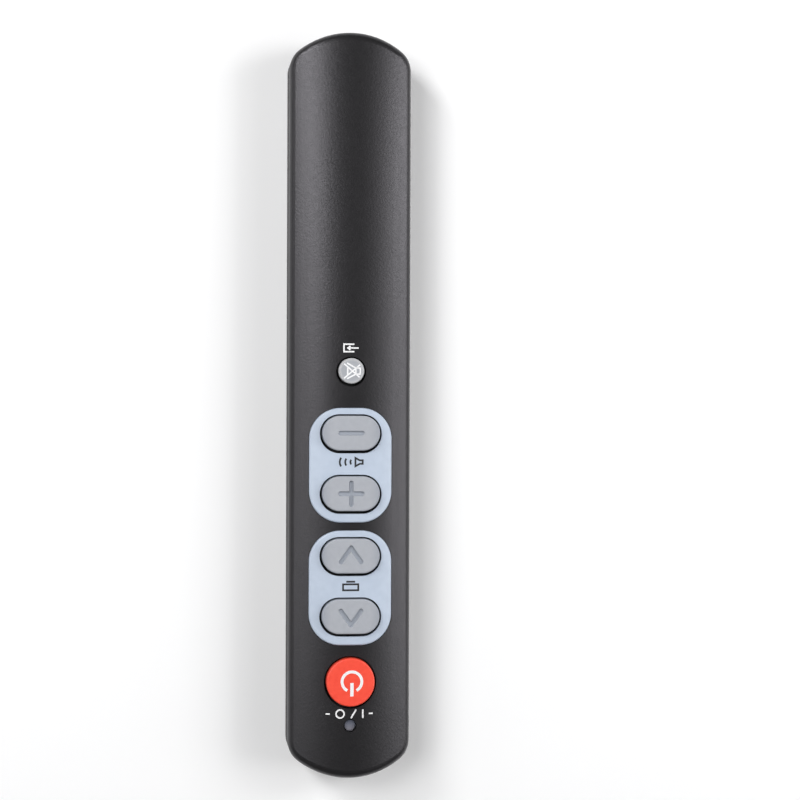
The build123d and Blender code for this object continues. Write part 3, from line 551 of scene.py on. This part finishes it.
board_greens = ((0.015, 0.09, 0.035), (0.025, 0.13, 0.055))
weave_size = 0.4 * MM
weave_stretch = (1, 4, 1)

board_green, shader = new_finish("board_green", roughness=0.3)
weave = grain(board_green, weave_size, stretch=weave_stretch)
colour(board_green, shader, weave, board_greens)
emboss(board_green, shader, weave, rubber_depth)
dress(board_green, "circuit_board")

# What is soldered to the board: black resin packages, a resonator dipped in brown resin, and a
# capacitor in a dark shrunk sleeve.

chip_blacks = ((0.012, 0.012, 0.013), (0.02, 0.02, 0.021))
resonator_browns = ((0.5, 0.17, 0.025), (0.58, 0.22, 0.035))
sleeve_blues = ((0.015, 0.025, 0.08), (0.025, 0.035, 0.1))
chips = ("controller_chip", "memory_chip", "driver_transistor", "chip_resistors")


def resin(name, shades, roughness):
    """Moulding resin with a fine pitted skin."""
    material, shader = new_finish(name, roughness)
    pits = grain(material, spark_grain)
    colour(material, shader, pits, shades)
    emboss(material, shader, pits, spark_depth)
    return material


dress(resin("chip_resin", chip_blacks, roughness=0.5), *chips)
dress(resin("resonator_resin", resonator_browns, roughness=0.4), "ceramic_resonator")
dress(resin("capacitor_can", sleeve_blues, roughness=0.3), "electrolytic_capacitor")

# The combs: plated copper tracks on top of the board, two under each key. Their fingers lie
# between each other, and the key's pill joins them.

gold_shades = ((0.7, 0.48, 0.17), (0.8, 0.57, 0.24))
metal_swing = 0.08


def metal(name, shades, roughness, stretch=(1, 1, 1)):
    """Drawn, rolled or plated metal with fine marks, longer one way where they are stretched."""
    material, shader = new_finish(name, roughness, metallic=1.0)
    marks = grain(material, rubber_grain, detail=3.0, stretch=stretch)
    colour(material, shader, marks, shades)
    uneven_gloss(material, shader, marks, roughness, metal_swing)
    emboss(material, shader, marks, rubber_depth / 2)
    return material


dress(metal("plated_copper", gold_shades, roughness=0.3), "contact_pads")

# The contacts and conical springs: nickel-plated spring steel, held in the ends of the bay.
# The springs press on the flat ends of the cells.

nickel_shades = ((0.55, 0.53, 0.49), (0.68, 0.66, 0.62))
rolling_stretch = (1, 1, 6)
contacts = (
    "positive_contact", "negative_contact", "bridge_contact", "front_spring", "tail_spring",
)

dress(metal("nickel_plate", nickel_shades, roughness=0.28, stretch=rolling_stretch), *contacts)

# The screws: zinc-plated steel, two that close the case and four that hold the board.
# All of them bite into plain bosses of the upper shell.

zinc_shades = ((0.42, 0.42, 0.43), (0.6, 0.6, 0.61))

dress(metal("screw_steel", zinc_shades, roughness=0.3), "case_screws", "board_screws")

# The cells: steel cans in a printed jacket, bare at both ends, each with its nub the other way.
# A blue band marks the end with the nub, and a thin white ring closes it off.

can_steel = (0.62, 0.61, 0.58)
band_blue = (0.03, 0.09, 0.3)
ring_white = (0.75, 0.76, 0.78)
jacket_grey = (0.16, 0.17, 0.18)
jacket_start = 0.045
ring_start = 0.3
ring_end = 0.32
jacket_end = 0.985
jacket_bands = (
    (0.0, can_steel), (jacket_start, band_blue), (ring_start, ring_white),
    (ring_end, jacket_grey), (jacket_end, can_steel),
)
bare_steel = (1, 1, 1)
under_print = (0, 0, 0)
steel_bands = ((0.0, bare_steel), (jacket_start, under_print), (jacket_end, bare_steel))
scuff_stretch = (1, 0.2, 1)
scuff_strength = 0.12


def stepped(material, source, bands):
    """A colour that changes at once at each band's start; each band is (start, colour)."""
    ramp = add_node(material, "ShaderNodeValToRGB")
    ramp.color_ramp.interpolation = "CONSTANT"
    stops = ramp.color_ramp.elements
    while len(stops) < len(bands):
        stops.new(1.0)
    for stop, (start, shade) in zip(stops, bands):
        stop.position = start
        stop.color = (*shade, 1)
    link(material, source, ramp.inputs["Fac"])
    return ramp.outputs["Color"]


def cell_finish(name, nub_end, flat_end):
    """A jacket printed in bands between the two bare steel ends, a little scuffed."""
    material, shader = new_finish(name, roughness=0.28)
    along = place_along(material, "Y", nub_end, flat_end)
    scuffs = grain(material, mottle_size, detail=4.0, stretch=scuff_stretch)
    worn = spread(material, scuffs, 0.0, scuff_strength)
    jacket = mixed(material, worn, stepped(material, along, jacket_bands), ring_white)
    link(material, jacket, shader.inputs["Base Color"])
    link(material, stepped(material, along, steel_bands), shader.inputs["Metallic"])
    emboss(material, shader, scuffs, rubber_depth)
    return material


for name in ("left_cell", "right_cell"):
    low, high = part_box(name)
    ends = (low.y, high.y) if name == "left_cell" else (high.y, low.y)
    dress(cell_finish(name + "_jacket", *ends), name)

# The floor: a wide white sheet that keeps the soft shadow of the case. Far away from the remote,
# where the lamps no longer reach, it stays as pale to the eye as it is near it.

floor_reach = 12.0
floor_white = (0.93, 0.93, 0.935, 1)
floor_shine = 0.1
floor_lift = 0.07
far_lift = 0.85
lit_reach = 0.3
dark_reach = 0.8
pure_white = (1, 1, 1, 1)

bpy.ops.mesh.primitive_plane_add(size=floor_reach, location=(0, 0, 0))
floor = bpy.context.object
floor.name = "floor"
floor_paper, shader = new_finish("floor_paper", roughness=0.9)
shader.inputs["Base Color"].default_value = floor_white
shader.inputs["Specular IOR Level"].default_value = floor_shine
ray = add_node(floor_paper, "ShaderNodeLightPath")
seen = summed(floor_paper, ray.outputs["Is Camera Ray"], ray.outputs["Is Glossy Ray"])
seen = summed(floor_paper, seen, ray.outputs["Is Transmission Ray"])
far_off = off_middle(floor_paper, (0, 0), lit_reach, dark_reach)
lift = ranged(floor_paper, far_off, 0.0, 1.0, floor_lift, far_lift)
lifted = add_node(floor_paper, "ShaderNodeMapRange")
link(floor_paper, seen, lifted.inputs["Value"])
link(floor_paper, lift, lifted.inputs["To Max"])
shader.inputs["Emission Color"].default_value = pure_white
link(floor_paper, lifted.outputs["Result"], shader.inputs["Emission Strength"])
floor.data.materials.append(floor_paper)

# The lamps: a bank of soft boxes on each side, in a dim even room. Each has its tilt from upright
# in degrees, its place along the remote in metres, and its radiance.

lamp_distance = 0.6
lamp_width = 0.17
lamp_length = 0.22
lamp_bank = (
    (68, -0.12, 1.8),
    (68, 0.12, 0.9),
    (26, -0.14, 9.17),
    (26, 0.08, 1.08),
    (40, -0.36, 15.92),
    (40, 0.08, 2.37),
    (-36, -0.14, 2.17),
    (-36, 0.08, 1.3),
    (-36, 0.3, 0.72),
    (-50, -0.14, 7.74),
    (-50, 0.08, 4.63),
    (-68, -0.12, 2.6),
    (-68, 0.12, 2.3),
)
room_strength = 0.08


def softbox(name, place, radiance):
    """A flat lamp that faces the remote; its radiance is that of a white sheet in full light
    times this."""
    lamp = bpy.data.lights.new(name, "AREA")
    lamp.shape = "RECTANGLE"
    lamp.size = lamp_width
    lamp.size_y = lamp_length
    lamp.energy = radiance * pi * lamp_width * lamp_length
    box = bpy.data.objects.new(name, lamp)
    bpy.context.scene.collection.objects.link(box)
    box.location = place
    box.rotation_euler = (-Vector(place)).to_track_quat("-Z", "Y").to_euler()


for index, (tilt, along, radiance) in enumerate(lamp_bank):
    across = lamp_distance * sin(radians(tilt))
    above = lamp_distance * cos(radians(tilt))
    softbox(f"soft_box_{index}", (across, along, above), radiance)

world = bpy.data.worlds.new("room")
world.use_nodes = True
backdrop = world.node_tree.nodes["Background"]
backdrop.inputs["Color"].default_value = pure_white
backdrop.inputs["Strength"].default_value = room_strength
bpy.context.scene.world = world

# The camera: above the remote and a little to one side, so that a narrow strip of the left flank
# shows. The tail is at the top of the picture.

camera_height = 0.45
camera_side = 0.041
focal_length = 85.3
sensor_width = 36.0
nearest_seen = 0.01
picture_middle = Vector((-0.0115, -0.00125, 0.0144))
picture_turn = radians(179.813)

lens = bpy.data.cameras.new("camera")
lens.sensor_width = sensor_width
lens.lens = focal_length
lens.clip_start = nearest_seen
camera = bpy.data.objects.new("camera", lens)
bpy.context.scene.collection.objects.link(camera)
camera.location = (camera_side, picture_middle.y, camera_height)
looking = (picture_middle - camera.location).normalized()
turned = Vector((sin(picture_turn), cos(picture_turn), 0))
back = -looking
right = turned.cross(back).normalized()
upward = back.cross(right)
camera.rotation_euler = Matrix((right, upward, back)).transposed().to_euler()
bpy.context.scene.camera = camera

bpy.context.scene.view_settings.view_transform = "Standard"
